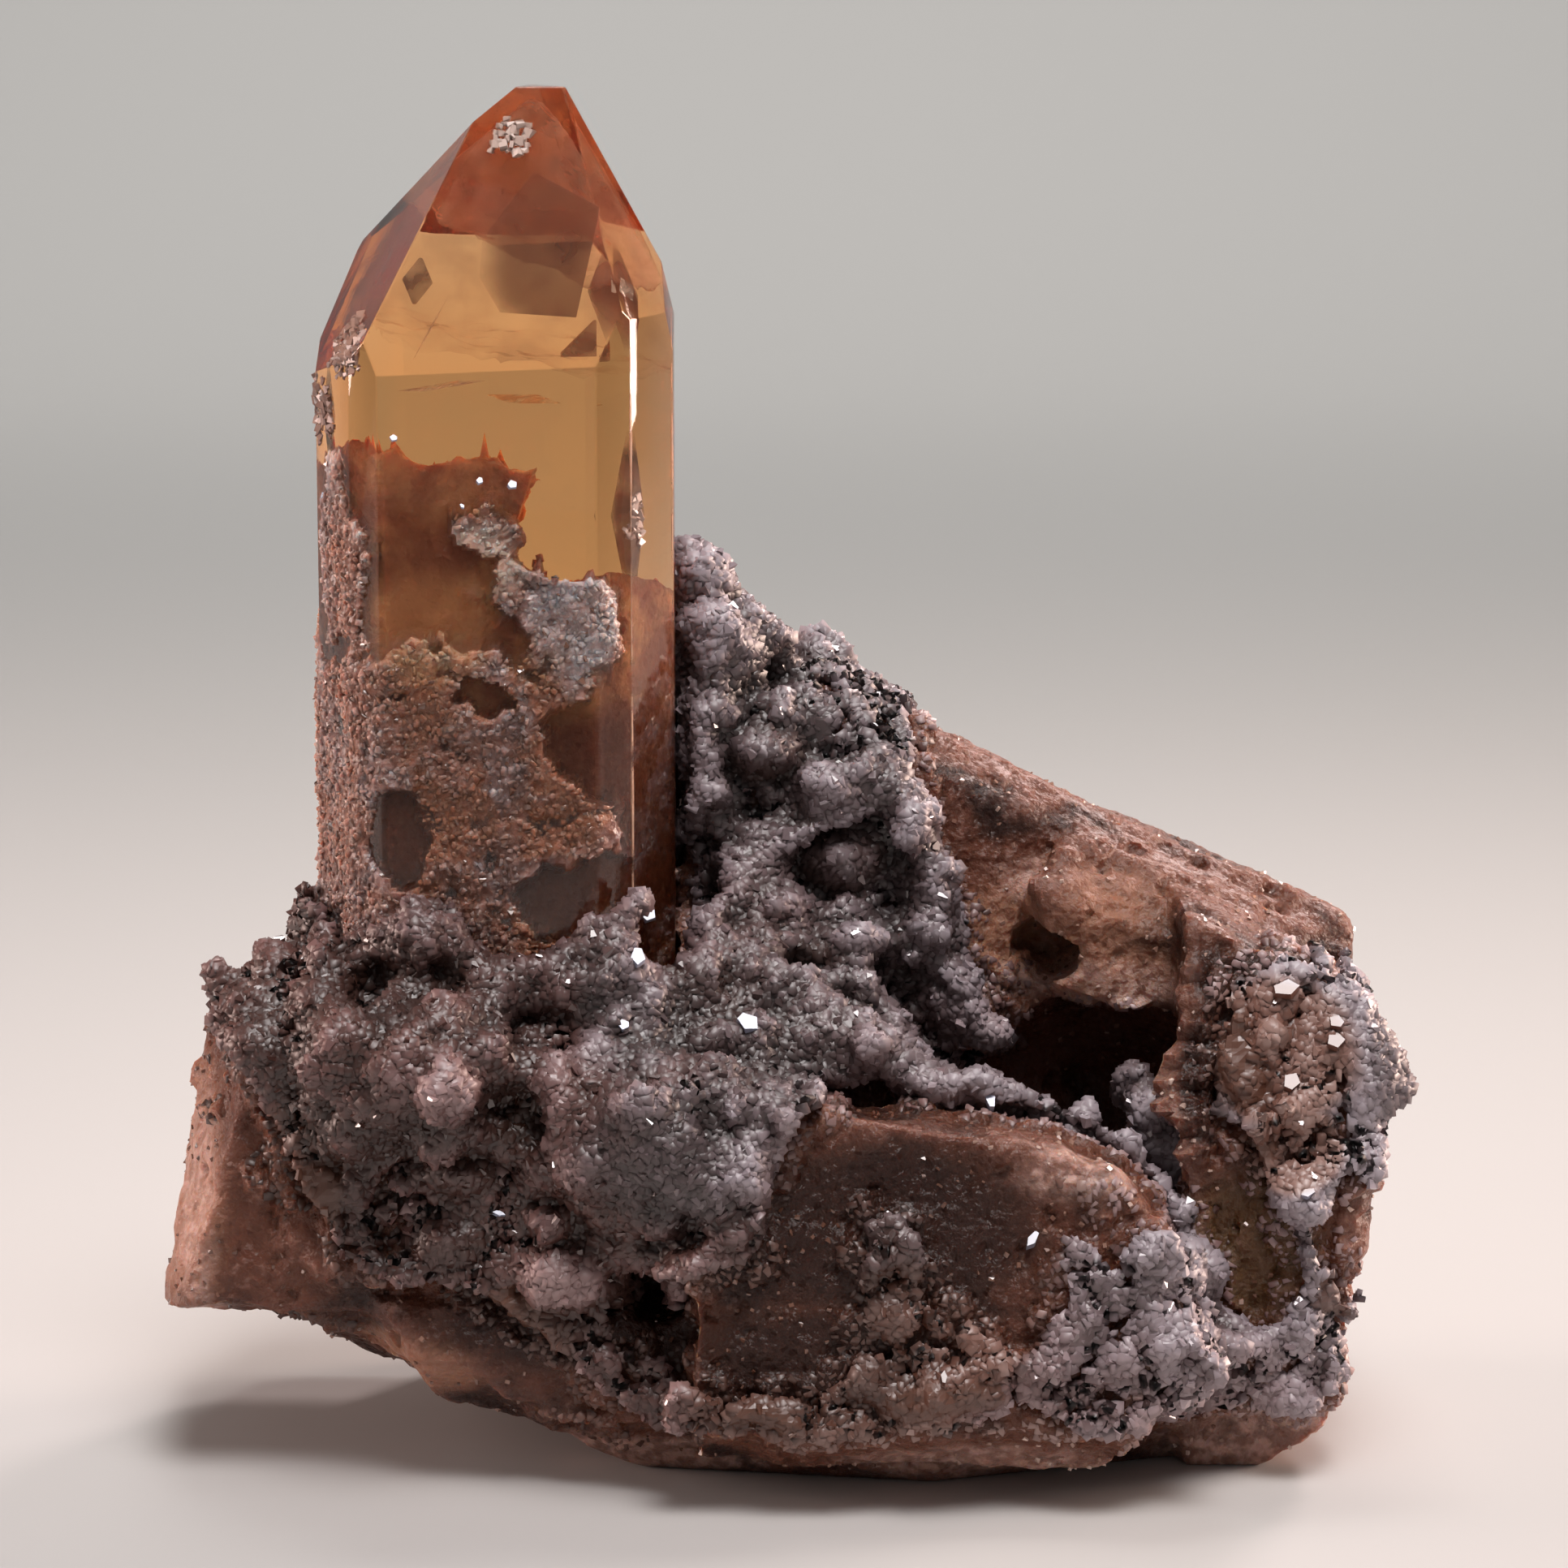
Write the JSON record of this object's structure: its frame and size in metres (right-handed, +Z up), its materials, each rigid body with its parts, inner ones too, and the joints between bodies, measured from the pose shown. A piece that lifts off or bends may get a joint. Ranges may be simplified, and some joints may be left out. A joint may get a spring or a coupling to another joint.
{
  "type": "topaz crystal specimen",
  "caption": "Mineral specimen: an upright clear sherry-orange topaz crystal on intergrown recumbent topaz crystals, crusted with grey-lavender sugary druse.",
  "frame": {"origin": "on the flat broken underside that the specimen rests on, at the middle of that face", "axes": "+Z up along the upright crystal, -Y towards the viewer, +X to the right, down the recumbent back crystal"},
  "size_m": [0.0354, 0.0202, 0.0393],
  "materials": {
    "clear_topaz": "polished natural faces",
    "brown_topaz": "glassy, cloudy",
    "druse": "rough, sparkling grains"
  },
  "bodies": {
    "root": {"upright_crystal": "clear_topaz", "base_crystals": "brown_topaz", "druse_crust": "druse"}
  },
  "joints": []
}
